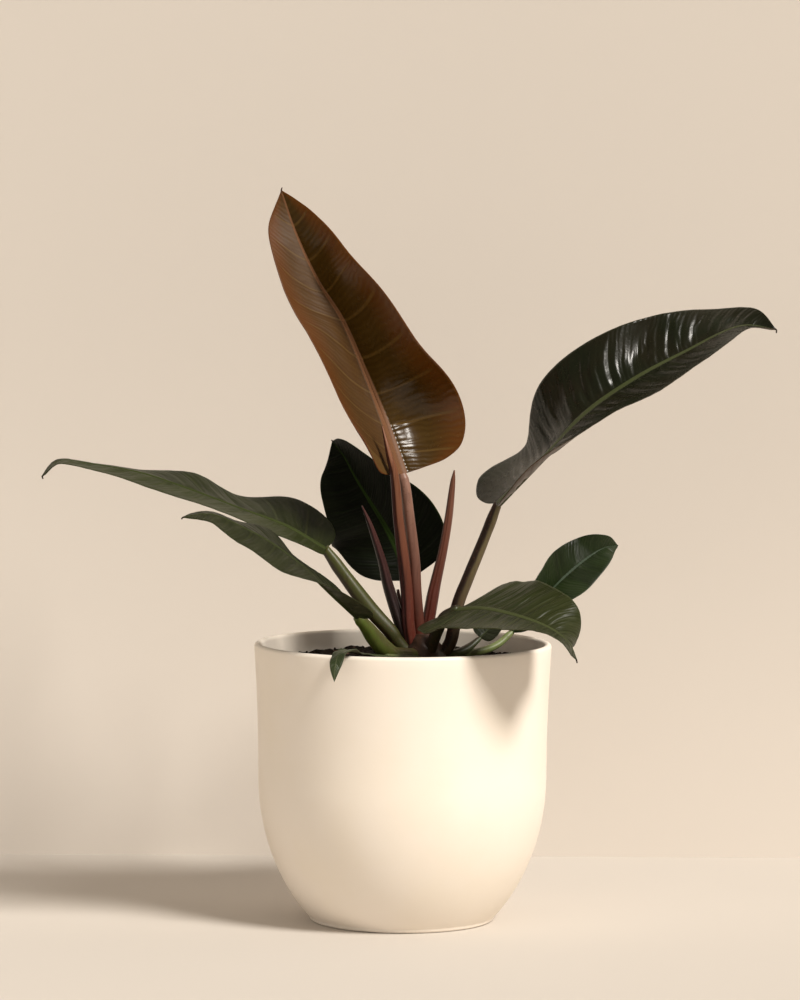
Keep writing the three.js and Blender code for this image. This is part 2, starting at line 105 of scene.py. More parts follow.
# The leaves, in millimetres and degrees. midrib runs from the petiole to the tip, and petiole from the
# crown up to the blade. left and right: how far each half is turned from facing the front. curl: how
# much further it turns between rib and edge. lobes: how far its base reaches back. wave: height, count
# and start of the edge's waves. drip: where the tip's point bends to. slant: how much further the side
# veins of each half run to the tip. swells: large bulges, each with its share of the way along, its
# place beside the midrib, its size and its height. thickness: the petiole's radius along it. slots:
# the material slots of the blade and the petiole.
LEAVES = {
    "upright": {
        "midrib": [(-1, 2, 247), (-10, 8, 273), (-21, 13, 301), (-34, 18, 331), (-48, 23, 353),
                   (-60, 28, 378), (-69, 36, 403)],
        "left": [76, 70, 64, 59, 58, 52, 10], "right": [-10, 0, 32, 40, 38, 33, 30],
        "half_width": 44, "curl": (50, 10), "wave": (0.8, 3, 0.1), "drip": (1, 0, 0),
        "slant": (0.55, -0.27),
        "swells": [(0.156, 19.3, 16, -5.2), (0.62, 16, 14, 2), (0.42, -16, 18, 2.5)],
        "petiole": [(11, -1, 140), (9, 1, 158), (7, 0, 181), (6, 0, 200), (3, 0, 224), (1, 1, 240)],
        "thickness": [3.8, 3.6, 3.3, 3.1, 3, 2.8, 2.5],
        "slots": ("copper_leaf", "red_stalk"),
    },
    "right": {
        "midrib": [(52, 0, 231), (76, -2, 256), (100, 0, 281), (127, 4, 300), (155, 8, 315),
                   (184, 10, 329), (205, 7, 328)],
        "left": [-60, -75, -36, -22, -18, -46, 10], "right": [97, 94, 82, 74, 76, 86, 105],
        "half_width": 40, "curl": (20, 20), "lobes": (0.04, 0), "wave": (0.8, 4, 0.3),
        "drip": (-1, 0, -2),
        "swells": [(0.2, -16, 14, -2.5), (0.42, -20, 14, 3.5), (0.56, -20, 13, -3.5)],
        "petiole": [(16, -4, 144), (26, -3, 154), (30, -3, 175), (36, -3, 191), (43, -2, 208)],
        "thickness": [3.6, 3.6, 3.5, 3.3, 3.1, 2.6],
        "slots": ("dark_leaf", "dark_stalk"),
    },
    "left": {
        "midrib": [(-43, -8, 206), (-65, -10, 219), (-91, -12, 229), (-117, -15, 239),
                   (-143, -19, 248), (-169, -24, 253), (-188, -27, 255), (-197, -29, 247)],
        "left": [88, 83, 86, 82, 82, 86, 88, 80], "right": [-62, -64, -84, -74, -90, -90, -84, -70],
        "half_width": 33, "lobes": (0, 0.02), "wave": (1, 3, 0), "drip": (1, 0, -1),
        "petiole": [(8, -6, 142), (-3, -8, 155), (-7, -9, 161), (-17, -9, 172), (-28, -9, 186)],
        "thickness": [3.8, 3.9, 4, 4.2, 4, 2.8],
        "slots": ("olive_leaf", "green_stalk"),
    },
    "low_left": {
        "midrib": [(-25, -40, 172), (-37, -52, 184), (-52, -62, 199), (-69, -70, 213),
                   (-86, -77, 223), (-102, -83, 230), (-117, -88, 229)],
        "left": [112, 110, 94, 72, 70, 72, 76], "right": [-80, -90, -90, -82, -88, -86, -66],
        "half_width": 29, "lobes": (-0.08, 0), "wave": (0.8, 3, 0.4), "drip": (0, 0, -1),
        "petiole": [(9, -8, 147), (-4, -22, 149), (-10, -28, 153), (-16, -32, 160), (-20, -36, 166)],
        "thickness": [4.4, 4.8, 5, 4.6, 3.8, 2.6],
        "slots": ("olive_leaf", "green_stalk"),
    },
    "back": {
        "midrib": [(3, 32, 186), (-4, 44, 203), (-11, 57, 216), (-19, 70, 228), (-27, 82, 240),
                   (-34, 92, 252), (-41, 100, 260)],
        "left": [40, 32, 15, 0, 0, 0, 0], "right": [25, 30, 42, 56, 65, 74, 75],
        "half_width": 35, "curl": (15, 15), "wave": (0.7, 3, 0.6),
        "petiole": [(10, 3, 142), (7, 13, 158), (5, 20, 172)],
        "thickness": [3.6, 3.5, 3.2, 2.5],
        "slots": ("dark_leaf", "dark_stalk"),
    },
    "right_back": {
        "midrib": [(61, 30, 157), (72, 38, 167), (83, 46, 179), (94, 53, 189), (105, 60, 197),
                   (114, 66, 202), (122, 72, 203)],
        "left": [60, 60, 45, 15, 0, 30, 10], "right": [75, 70, 50, 33, 36, 40, 40],
        "half_width": 19, "wave": (0.5, 2, 0.2), "drip": (-1, 0, -2),
        "petiole": [(14, 1, 147), (27, 8, 147), (40, 16, 147), (52, 24, 150)],
        "thickness": [2.6, 2.4, 2.3, 2.2, 1.7],
        "slots": ("olive_leaf", "green_stalk"),
    },
    "front": {
        "midrib": [(30, -28, 175), (42, -42, 177), (54, -55, 176), (68, -67, 173), (80, -76, 168.5),
                   (88.5, -81, 162), (92.5, -82, 153.5)],
        "left": [-76, -70, -54, -48, -48, -84, -88], "right": [80, 74, 73, 74, 82, 83, 76],
        "half_width": 34, "lobes": (0, 0.09), "wave": (1, 3, 0.5), "drip": (0, 0, -1),
        "petiole": [(14, -8, 144), (16, -11, 153), (19, -15, 162), (23, -20, 170)],
        "thickness": [3.6, 3.6, 3.5, 3.3, 2.6],
        "slots": ("olive_leaf", "dark_stalk"),
    },
    "rim": {
        "midrib": [(-9, -39, 150.5), (-17, -52, 152), (-25, -65, 154.5), (-30, -75, 157),
                   (-34, -84, 156), (-36, -90, 150), (-36.5, -92, 142)],
        "left": [95, 95, 110, 110, 60, 10, 0], "right": [-95, -92, -100, -105, -60, -10, 0],
        "half_width": 7, "wave": (0.2, 2, 0),
        "petiole": [(11, -10, 146), (6, -20, 147), (-2, -30, 149)],
        "thickness": [2, 1.9, 1.7, 1.2],
        "slots": ("olive_leaf", "green_stalk"),
    },
    "inner": {
        "midrib": [(43, 7, 156), (48, 9, 161), (53, 12, 166), (58, 14, 170), (62, 16, 173)],
        "left": [-20, -20, -20, -20, -20], "right": [50, 50, 50, 50, 50],
        "half_width": 8, "curl": (0, 0), "wave": (0.2, 2, 0),
        "petiole": [(16, -4, 146), (26, -2, 147), (35, 2, 150)],
        "thickness": [2.4, 2.6, 2.6, 1.2],
        "slots": ("dark_leaf", "green_stalk"),
    },
}
# What holds for a leaf where its row says nothing
USUAL = {"curl": (10, 10), "lobes": (0, 0), "drip": (0, 0, 0), "slant": (0, 0), "swells": ()}
LEAVES = {name: USUAL | leaf for name, leaf in LEAVES.items()}

# The pointed sheaths that new leaves come out of, from the crown to the point
SHEATHS = {
    "front": {
        "path": [(6, -5, 144), (3, -6, 164), (2, -5, 182), (0, -6, 200), (-3, -7, 224),
                 (-5, -10, 246), (-8, -11, 258), (-12, -9, 274)],
        "thickness": [3.6, 3.6, 3.5, 3.4, 3, 2.6, 1.8, 0.4],
    },
    "right": {
        "path": [(12, 1, 144), (13, 5, 158), (16, 6, 177), (18, 7, 187), (22, 8, 205), (25, 9, 223),
                 (27, 10, 241), (28, 10, 249)],
        "thickness": [3.8, 3.7, 3.6, 3.2, 2.6, 2.3, 1.6, 0.4],
    },
    "left": {
        "path": [(6, -3, 144), (0, -4, 160), (-6, -3, 178), (-9, -3, 188), (-12, -3, 200),
                 (-18, -4, 218), (-23, -5, 230)],
        "thickness": [3.4, 3.4, 3.4, 3.1, 2.5, 1.6, 0.4],
    },
    "short": {
        "path": [(7, 2, 144), (2, 3, 155), (-1, 4, 169), (-3, 5, 183)],
        "thickness": [2.6, 2.6, 2.2, 0.8],
    },
}

# Where the stem crown stands, and its profile as radius and height, in millimetres
CROWN_CENTRE = Vector((11, -3, 0))
CROWN_PROFILE = [(10, 112), (13, 120), (13, 139), (14, 145), (9, 155), (5.4, 159)]


def length_of(name, default, description, low=0.0):
    return FloatProperty(name=name, description=description, default=default, min=low, unit="LENGTH",
                         precision=5)


def relief_of(name, millimetres, description):
    return length_of(name, millimetres * MM, description)


def amount_of(name, default, description, low=-10.0):
    return FloatProperty(name=name, description=description, default=default, min=low)


def angle_of(name, degrees, description):
    return FloatProperty(name=name, description=description, default=math.radians(degrees),
                         subtype="ANGLE")


def count_of(name, default, description, low=1):
    return IntProperty(name=name, description=description, default=default, min=low)


def vector_of(name, default, description, subtype, unit="NONE"):
    return FloatVectorProperty(name=name, description=description, default=default, size=3,
                               subtype=subtype, unit=unit)


def share_of(name, default, description):
    return FloatProperty(name=name, description=description, default=default, min=0, max=1,
                         subtype="FACTOR")


def colour_of(name, default, description):
    return FloatVectorProperty(name=name, description=description, default=default, min=0, max=1,
                               size=3, subtype="COLOR")


class PotSettings(PropertyGroup):
    """Sizes and colours of the pot"""

    wall: length_of("Wall", 4 * MM, "Thickness of the pot's wall and its rounded lip")
    floor: length_of("Floor", 7 * MM, "Thickness of the pot's floor")
    foot_corner: length_of("Foot corner", 2 * MM, "Radius of the corner round the foot")
    belly_radius: length_of("Belly radius", 79.8 * MM, "Radius where the belly meets the wall")
    belly_height: length_of("Belly height", 80 * MM, "Height where the belly meets the wall")
    belly_depth: length_of("Belly depth", 102 * MM, "Depth of the ellipse that the belly follows")
    glaze: colour_of("Glaze", (0.85, 0.775, 0.685), "Colour of the matte glaze")
    glaze_shade: colour_of("Glaze shade", (0.8, 0.71, 0.57), "Colour of the glaze in its faint clouds")
    roughness: share_of("Roughness", 0.5, "How matte the glaze is")


class SoilSettings(PropertyGroup):
    """Sizes and colours of the potting soil"""

    level: length_of("Level", 141 * MM, "Height of the soil's surface")
    lump: length_of("Lumps", 1.6 * MM, "Height of the soil's lumps")
    heap: length_of("Heap", 2.5 * MM, "How much higher the soil lies at the back")
    crumbs: count_of("Crumbs", 650, "How many crumbs lie on the soil", 0)
    crumb_size: length_of("Crumb size", 1.5 * MM, "Radius of the largest crumbs")
    dark: colour_of("Dark soil", (0.006, 0.004, 0.0025), "Colour of the moist soil")
    light: colour_of("Light soil", (0.03, 0.017, 0.009), "Colour of the drier crumbs")
    bark: colour_of("Bark", (0.14, 0.075, 0.05), "Colour of the few bits of bark")


class BladeSettings(PropertyGroup):
    """Sizes that all the blades share"""

    thickness: length_of("Thickness", 0.7 * MM, "Thickness of a blade between its veins")
    margin: length_of("Margin", 0.35 * MM, "Thickness of a blade at its edge")
    rib_width: length_of("Rib width", 3.4 * MM, "Half the midrib's width at the base of a full blade")
    rib_tip: length_of("Rib tip", 0.5 * MM, "Half the midrib's width at the tip")
    spike: length_of("Drip tip", 2.2 * MM, "Length of the thin point past a full blade's tip")
    tip: colour_of("Tip", (0.02, 0.008, 0.004), "Colour of the dry tips")
    row_step: length_of("Row step", 0.9 * MM, "Distance between a blade's rows of faces", 0.2 * MM)
    columns: count_of("Columns", 34, "Faces across half a blade", RIB_COLUMNS + 1)


# What sets a blade's looks: the kind of setting, its usual value and what it is
BLADE_FIELDS = {
    "face": (colour_of, None, "Colour of the upper face"),
    # The shade colour is random clouds on the face, and also painted shade over the right half.
    "shade": (colour_of, None, "Colour that clouds the upper face"),
    "under": (colour_of, None, "Colour of the underside"),
    "rib": (colour_of, None, "Colour of the midrib"),
    "vein": (colour_of, None, "Colour of the side veins"),
    # Painted shade: the right half of the blade darkened towards the shade colour.
    "split": (share_of, 0, "How far the right half alone takes the shade's colour"),
    # Painted light: the face lighter on the crests of the swells between the side veins.
    "glow": (share_of, 1, "How much lighter the face is halfway between its veins"),
    "veins": (count_of, 9, "Side veins in each half"),
    "quilt": (relief_of, 0.5, "How far the blade swells between its side veins"),
    "pleat": (relief_of, 0.05, "Height of the finer folds between the side veins"),
    "roughness": (share_of, 0.3, "Roughness of the waxy face"),
    "blush": (colour_of, (0.1, 0.04, 0.01), "Colour of the face towards its edge"),
    "blushing": (share_of, 0, "How much the face takes the blush's colour"),
    "shine": (share_of, 0.5, "Strength of the waxy face's reflections"),
    "matte": (share_of, 0, "How much duller the left half is"),
    "edge": (share_of, 0.4, "How much the thin edge takes the midrib's colour"),
    "translucency": (share_of, 0, "How much light comes through"),
}
# The same for the petioles, the sheaths and the stem crown
STALK_FIELDS = {
    "foot": (colour_of, None, "Colour near the soil"),
    "head": (colour_of, None, "Colour at the upper end"),
    # The darker side set below is painted shade, on the side of a stalk turned from the light; the dark
    # colour also gives the real streaks.
    "dark": (colour_of, None, "Colour of the darker side and of the streaks"),
    "speck": (colour_of, (0.1, 0.04, 0.02), "Colour of the fine specks"),
    "dark_side": (angle_of, 90, "Which way the darker side faces, from the front to the left"),
    "dark_from": (amount_of, 0.3, "How narrow the darker side is"),
    "dark_amount": (share_of, 0.8, "How dark the darker side is"),
    "specks": (share_of, 0.5, "How much the specks show"),
    "roughness": (share_of, 0.35, "Roughness of the skin"),
    "groove": (angle_of, 180, "Where the groove runs, from the left side to the back"),
}
# Each one's colours, in the order of the fields above, and what else sets it apart
BLADE_LOOKS = [
    ("upright_look", [(0.075, 0.03, 0.0035), (0.05, 0.024, 0.0015), (0.2, 0.05, 0.012),
     (0.23, 0.1, 0.042), (0.15, 0.085, 0.02)],
     dict(roughness=0.2, split=0.85, glow=0.3, shine=0.4, translucency=0.28, pleat=0.08, edge=0.05,
          matte=1.0, blush=(0.13, 0.036, 0.003), blushing=0.75)),
    ("right_look", [(0.006, 0.008, 0.0025), (0.009, 0.008, 0.003), (0.05, 0.018, 0.008),
     (0.045, 0.055, 0.016), (0.011, 0.012, 0.005)],
     dict(veins=12, quilt=0.9, roughness=0.22, glow=0.2, shine=0.32, pleat=0.28, edge=0.15)),
    ("left_look", [(0.02, 0.026, 0.006), (0.008, 0.011, 0.003), (0.014, 0.011, 0.007),
     (0.034, 0.045, 0.012), (0.03, 0.036, 0.01)],
     dict(quilt=0.9, roughness=0.34, shine=0.06, pleat=0.2, split=0.7)),
    ("low_left_look", [(0.018, 0.021, 0.008), (0.01, 0.012, 0.005), (0.03, 0.03, 0.014),
     (0.034, 0.042, 0.014), (0.03, 0.034, 0.013)],
     dict(quilt=0.8, roughness=0.34, shine=0.06, pleat=0.2, split=0.5)),
    ("back_look", [(0.004, 0.0045, 0.0025), (0.0025, 0.003, 0.0015), (0.02, 0.012, 0.007),
     (0.014, 0.027, 0.005), (0.006, 0.009, 0.0035)],
     dict(quilt=0.3, roughness=0.4, shine=0.03)),
    ("right_back_look", [(0.01, 0.019, 0.0035), (0.006, 0.01, 0.002), (0.04, 0.025, 0.014),
     (0.033, 0.055, 0.03), (0.014, 0.024, 0.006)],
     dict(veins=8, quilt=0.3, shine=0.2)),
    ("front_look", [(0.022, 0.027, 0.007), (0.01, 0.013, 0.004), (0.03, 0.014, 0.009),
     (0.05, 0.06, 0.02), (0.045, 0.05, 0.02)],
     dict(veins=12, quilt=1.1, roughness=0.33, shine=0.13, pleat=0.25, split=0.4)),
    ("rim_look", [(0.028, 0.04, 0.014), (0.018, 0.026, 0.01), (0.05, 0.045, 0.03), (0.09, 0.1, 0.05),
     (0.05, 0.06, 0.03)],
     dict(veins=6, quilt=0.15, roughness=0.35, shine=0.25)),
    ("inner_look", [(0.012, 0.016, 0.006), (0.008, 0.01, 0.004), (0.03, 0.025, 0.015),
     (0.04, 0.05, 0.02), (0.02, 0.025, 0.01)],
     dict(veins=5, quilt=0.15, shine=0.2)),
]
STALK_LOOKS = [
    ("upright_stalk_look", [(0.07, 0.014, 0.007), (0.26, 0.14, 0.1), (0.03, 0.008, 0.006)],
     dict(dark_from=0.5, groove=80)),
    ("right_stalk_look", [(0.05, 0.03, 0.014), (0.13, 0.1, 0.045), (0.014, 0.006, 0.004)],
     dict(dark_from=-0.25, dark_amount=0.97, groove=100)),
    ("left_stalk_look", [(0.03, 0.03, 0.008), (0.055, 0.06, 0.014), (0.022, 0.012, 0.005)],
     dict(dark_from=0.2, groove=70)),
    ("low_left_stalk_look", [(0.05, 0.06, 0.011), (0.08, 0.11, 0.017), (0.04, 0.022, 0.008)],
     dict(dark_side=-60, dark_from=0.7, groove=60)),
    ("back_stalk_look", [(0.02, 0.012, 0.007), (0.02, 0.025, 0.01), (0.01, 0.006, 0.004)], {}),
    ("right_back_stalk_look", [(0.06, 0.075, 0.02), (0.16, 0.2, 0.07), (0.1, 0.07, 0.035)],
     dict(dark_side=180, dark_amount=0.5)),
    ("front_stalk_look", [(0.03, 0.02, 0.01), (0.04, 0.045, 0.015), (0.014, 0.008, 0.005)], {}),
    ("rim_stalk_look", [(0.07, 0.075, 0.03), (0.08, 0.1, 0.035), (0.04, 0.03, 0.015)], {}),
    ("inner_stalk_look", [(0.03, 0.035, 0.012), (0.04, 0.05, 0.018), (0.03, 0.02, 0.01)], {}),
    ("front_sheath_look", [(0.08, 0.014, 0.007), (0.19, 0.075, 0.035), (0.03, 0.005, 0.005)],
     dict(dark_side=75, dark_from=0.25, dark_amount=0.95, specks=0.4, groove=-60)),
    ("right_sheath_look", [(0.08, 0.014, 0.008), (0.13, 0.05, 0.028), (0.035, 0.009, 0.006)],
     dict(groove=-70)),
    ("left_sheath_look", [(0.01, 0.004, 0.004), (0.05, 0.012, 0.01), (0.008, 0.003, 0.003)],
     dict(dark_from=-0.1, dark_amount=0.95, specks=0.2, groove=-110)),
    ("short_sheath_look", [(0.012, 0.005, 0.004), (0.09, 0.04, 0.03), (0.01, 0.004, 0.003)],
     dict(specks=0.3, groove=-90)),
    ("crown_look", [(0.02, 0.01, 0.006), (0.035, 0.016, 0.009), (0.012, 0.006, 0.004)], {}),
]


def look_class(title, fields, tones, others):
    """A class of settings for the looks of one piece."""
    own = dict(zip(fields, tones)) | others
    made = {name: kind(name.replace("_", " ").capitalize(), own.get(name, usual), about)
            for name, (kind, usual, about) in fields.items()}
    return type(title.title().replace("_", ""), (PropertyGroup,),
                {"__doc__": "Looks of one piece", "__annotations__": made})


LOOKS = {title: look_class(title, fields, tones, others)
         for fields, rows in ((BLADE_FIELDS, BLADE_LOOKS), (STALK_FIELDS, STALK_LOOKS))
         for title, tones, others in rows}


class StageSettings(PropertyGroup):
    """The camera, the light and the floor"""

    focal_length: amount_of("Focal length", 150.3, "Lens, in millimetres", 0)
    eye: vector_of("Eye", (-2.04 * MM, -2300 * MM, 384.5 * MM), "Where the camera stands", "XYZ",
                   "LENGTH")
    pitch: angle_of("Pitch", 3.77, "How far the camera looks down")
    roll: angle_of("Roll", 0.284, "How far the camera is turned")
    key_from: vector_of("Key direction", (0.526, -0.473, 0.707), "Where the main light comes from",
                        "DIRECTION")
    key_size: angle_of("Key size", 17, "How wide the main light looks")
    key_strength: amount_of("Key strength", 4.2, "Main light, in watts a square metre", 0)
    key_colour: colour_of("Key colour", (1.0, 0.95, 0.88), "Colour of the main and the soft light")
    fill_colour: colour_of("Fill colour", (1.0, 0.86, 0.7), "Colour of the light from all round")
    fill_strength: amount_of("Fill strength", 0.18, "Light from all round", 0)
    soft_from: vector_of("Soft light's direction", (-0.5, -0.85, 0.15),
                         "Where the soft light on the shadow side comes from", "DIRECTION")
    soft_size: angle_of("Soft light's size", 60, "How wide the soft light looks")
    soft_strength: amount_of("Soft light's strength", 0.9, "Soft light, in watts a square metre", 0)
    paper: colour_of("Paper", (0.58, 0.535, 0.485), "Colour of the floor")
    backdrop: colour_of("Backdrop", (0.59, 0.54, 0.485), "Colour of the backdrop")
    # Painted light: the backdrop is painted lighter at its foot, where it meets the floor.
    backdrop_painted_light: colour_of("Backdrop's foot", (0.67, 0.615, 0.555), "Its colour at the floor")


class PlantSettings(PropertyGroup):
    """All the settings of the potted plant"""

    pot: PointerProperty(type=PotSettings)
    soil: PointerProperty(type=SoilSettings)
    blade: PointerProperty(type=BladeSettings)
    stage: PointerProperty(type=StageSettings)


PlantSettings.__annotations__.update({name: PointerProperty(type=look) for name, look in LOOKS.items()})


class Value:
    """A shader's value, which adds, multiplies and so on as a number does."""

    def __init__(self, surface, socket):
        self.surface = surface
        self.socket = socket

    def __add__(self, other):
        return self.surface.math("ADD", self, other)

    __radd__ = __add__

    def __sub__(self, other):
        return self.surface.math("SUBTRACT", self, other)

    def __rsub__(self, other):
        return self.surface.math("SUBTRACT", other, self)

    def __mul__(self, other):
        return self.surface.math("MULTIPLY", self, other)

    def __pow__(self, other):
        return self.surface.math("POWER", self, other)

    def __abs__(self):
        return self.surface.math("ABSOLUTE", self)


class Surface:
    """A material's shader, built up node by node."""

    def __init__(self, name):
        self.material = bpy.data.materials.new(name)
        self.material.use_nodes = True
        self.tree = self.material.node_tree
        self.tree.nodes.clear()

    def node(self, kind, settings=None, inputs=None, output=0):
        """A new node with its settings and inputs, as the value of one of its outputs."""
        made = self.tree.nodes.new(kind)
        for key, value in (settings or {}).items():
            setattr(made, key, value)
        for key, value in (inputs or {}).items():
            if isinstance(value, Value):
                self.tree.links.new(value.socket, made.inputs[key])
            elif made.inputs[key].type == "RGBA":
                made.inputs[key].default_value = (*value, 1)
            else:
                made.inputs[key].default_value = value
        return Value(self, made.outputs[output])

    def math(self, operation, *values):
        return self.node("ShaderNodeMath", {"operation": operation}, dict(enumerate(values)))

    def attribute(self, name):
        return self.node("ShaderNodeAttribute", {"attribute_name": name}, output="Fac")

    def place(self, scale=(1, 1, 1)):
        """The point's own place in metres, stretched by scale."""
        point = self.node("ShaderNodeTexCoord", output="Object")
        return self.node("ShaderNodeMapping", inputs={"Vector": point, "Scale": scale})

    def noise(self, size, place=None, detail=3.0, roughness=0.5):
        """Soft random spots about size metres across, from 0 to 1."""
        inputs = {"Vector": place or self.place(), "Scale": 1 / size, "Detail": detail,
                  "Roughness": roughness}
        return self.node("ShaderNodeTexNoise", {"noise_dimensions": "3D"}, inputs)

    def smooth(self, value, low, high):
        """0 below low and 1 above high, with a smooth step between them."""
        return self.node("ShaderNodeMapRange", {"interpolation_type": "SMOOTHSTEP"},
                         {"Value": value, "From Min": low, "From Max": high})

    def mix(self, factor, first, second):
        """The colour first where factor is 0, and second where it is 1."""
        return self.node("ShaderNodeMix", {"data_type": "RGBA", "clamp_factor": True},
                         {0: factor, 6: first, 7: second}, output=2)

    def bump(self, height, distance, strength=1.0):
        """A normal for a surface that rises by distance metres where height is 1."""
        return self.node("ShaderNodeBump", None,
                         {"Height": height, "Distance": distance, "Strength": strength})

    def shine(self, colour, roughness, normal, specular=0.5):
        inputs = {"Base Color": colour, "Roughness": roughness, "Normal": normal,
                  "Specular IOR Level": specular}
        return self.node("ShaderNodeBsdfPrincipled", None, inputs)

    def finish(self, shader):
        """The material, with this shader as its surface."""
        surface = self.tree.nodes.new("ShaderNodeOutputMaterial").inputs["Surface"]
        self.tree.links.new(shader.socket, surface)
        return self.material


def unit(vectors):
    return vectors / np.maximum(np.linalg.norm(vectors, axis=-1, keepdims=True), 1e-12)


def smooth_step(value, low, high):
    share = np.clip((value - low) / (high - low), 0, 1)
    return share * share * (3 - 2 * share)


def curve_at(values, share):
    """Points of a smooth curve through evenly spaced values, at shares of the way along it."""
    table = np.asarray(values, dtype=float)
    table = table.reshape(len(table), -1)
    last = len(table) - 1
    place = np.clip(share, 0, 1) * last
    index = np.minimum(place.astype(int), last - 1)
    f = (place - index)[..., None]
    padded = np.vstack([2 * table[0] - table[1], table, 2 * table[-1] - table[-2]])
    before, a, b, after = (padded[index + k] for k in range(4))
    return (a * (1 + 2 * f) * (1 - f) ** 2 + (b - before) / 2 * f * (1 - f) ** 2
            + b * f * f * (3 - 2 * f) + (after - a) / 2 * f * f * (f - 1))


def midrib_at(points, share):
    """Points of a path, which runs on straight past its two ends."""
    inside = np.clip(share, 0, 1)
    step = np.where(inside > PATH_END, -PATH_STEP, PATH_STEP)
    start = curve_at(points, inside)
    slope = (curve_at(points, inside + step) - start) / step[..., None]
    return start + slope * (share - inside)[..., None]


def frames_at(points, share):
    """Along the path, across it in the plane that faces the front, and away from the front."""
    inside = np.clip(share, 0, 1)
    along = unit(midrib_at(points, inside + 0.004) - midrib_at(points, inside - 0.004))
    across = unit(np.cross(along, FAR))
    away = np.cross(across, along)
    return along, across, away


def fullness(leaf):
    """How wide a leaf is beside a full-grown one."""
    return min(1, leaf["half_width"] / FULL_WIDTH)


def length_along(points):
    return float(np.linalg.norm(np.diff(np.array(points, dtype=float), axis=0), axis=1).sum())


def blade_points(leaf, share, out, half):
    """Where points of the flat blade lie on the bent leaf. half is 1 left of the midrib and -1 right."""
    width = leaf["half_width"]
    curl = np.radians(np.where(half > 0, *leaf["curl"])) + 1e-6
    middle = np.where(half > 0, curve_at(leaf["left"], share)[..., 0],
                      curve_at(leaf["right"], share)[..., 0])
    root = np.radians(middle) - curl / 2
    turn = root + curl * out / width
    radius = width / curl
    height, count, start = leaf["wave"]
    phase = 2 * np.pi * (count * share + start + np.where(half > 0, 0, WAVE_LAG))
    lift = height * (out / width) ** 2 * np.sin(phase)
    aside = radius * (np.sin(turn) - np.sin(root)) - lift * np.sin(turn)
    forward = radius * (np.cos(root) - np.cos(turn)) + lift * np.cos(turn)
    _, across, away = frames_at(leaf["midrib"], share)
    return (midrib_at(leaf["midrib"], share) + (half * aside)[..., None] * across
            - forward[..., None] * away)


def noise_over(points, size, seed=0.0):
    """Soft random values from about -1 to 1, in spots about size millimetres across."""
    flat = points.reshape(-1, 3) / size + seed
    return np.array([noise.noise(Vector(p)) for p in flat]).reshape(points.shape[:-1])


def new_object(name, data):
    """A new object in the scene."""
    made = bpy.data.objects.new(name, data)
    bpy.context.scene.collection.objects.link(made)
    return made


def mesh_object(bm, name, material):
    """A smooth object from a mesh being built."""
    mesh = bpy.data.meshes.new(name)
    bm.to_mesh(mesh)
    bm.free()
    mesh.shade_smooth()
    mesh.materials.append(material)
    return new_object(name, mesh)


def finish_piece(bm, name, material, node):
    """A finished piece from a mesh being built, in place of a CAD node."""
    bm.normal_update()
    piece = mesh_object(bm, name, material)
    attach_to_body(piece, "root")
    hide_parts(node)


def attach(bm, follow):
    """Gives the corners of a mesh being built the values that its colours follow."""
    for key, values in follow.items():
        layer = bm.verts.layers.float.new(key)
        for vert, value in zip(bm.verts, np.ravel(values)):
            vert[layer] = value


def row_of(table, name):
    """The row of a table that an operator asks for."""
    if name not in table:
        raise ValueError(f"Nothing is called {name}")
    return table[name]


def outline_rows(count):
    """Rows of the outline, evenly spaced along its edge: their shares along it, and what they say."""
    shares = np.linspace(0, 1, OUTLINE_SAMPLES)
    fine = curve_at(OUTLINE, shares)
    steps = np.hypot(np.diff(fine[:, 1]) * OUTLINE_LENGTH, np.diff(fine[:, 2]))
    way = np.concatenate([[0], np.cumsum(steps)])
    index = np.interp(np.linspace(0, way[-1], count), way, shares)
    return index, curve_at(OUTLINE, index)


def blade_grid(leaf, blade):
    """The blade's middle surface and what its relief and colours follow, as grids of rows by columns."""
    length = length_along(leaf["midrib"])
    count = math.ceil(length * MM / blade.row_step) + EXTRA_ROWS
    index, rows = outline_rows(count)
    full = fullness(leaf)
    spike = np.arange(1, SPIKE_ROWS + 1) / SPIKE_ROWS
    past = 1 + spike * blade.spike / MM * full / length
    tip_width = rows[-1, 2]
    index = np.concatenate([index, np.ones(SPIKE_ROWS)])
    rows = np.vstack([rows, np.column_stack([past, past, tip_width * (1 - 0.8 * spike)])])
    bend = np.concatenate([np.zeros(count), spike ** 2])

    foot, edge, width = (rows[:, k, None] for k in range(3))
    width = width * leaf["half_width"]
    taper = np.clip(foot, 0, 1) ** 0.8
    rib = (blade.rib_width + (blade.rib_tip - blade.rib_width) * taper) / MM * full
    rib = np.minimum(rib, 0.55 * width)
    column = np.arange(-blade.columns, blade.columns + 1)[None, :]
    half = np.where(column > 0, -1, 1)
    step = np.abs(column)
    band = np.minimum(1.5 * rib, 0.75 * width)
    outer = band + (width - band) * np.clip((step - RIB_COLUMNS) / (blade.columns - RIB_COLUMNS), 0, 1)
    reach = np.where(step <= RIB_COLUMNS, band * step / RIB_COLUMNS, outer)
    share_out = reach / width
    sweep = share_out ** VEIN_SWEEP
    lobe = np.where(half > 0, *leaf["lobes"])
    lobe = lobe * np.sin(np.pi * np.minimum(1, index / LOBE_SPAN))[:, None]
    share = foot + (edge - foot) * sweep - lobe * sweep ** 2
    points = blade_points(leaf, share, reach, half)
    points = points + bend[:, None, None] * np.array(leaf["drip"], dtype=float)
    foot = np.broadcast_to(foot, reach.shape)
    return points, {"along": foot, "across": -half * reach / leaf["half_width"], "rim": share_out,
                    "rib": reach / rib}, rib


def face_normals(points):
    """The upper face's direction at each point of a grid."""
    return unit(np.cross(np.gradient(points, axis=1), np.gradient(points, axis=0)))


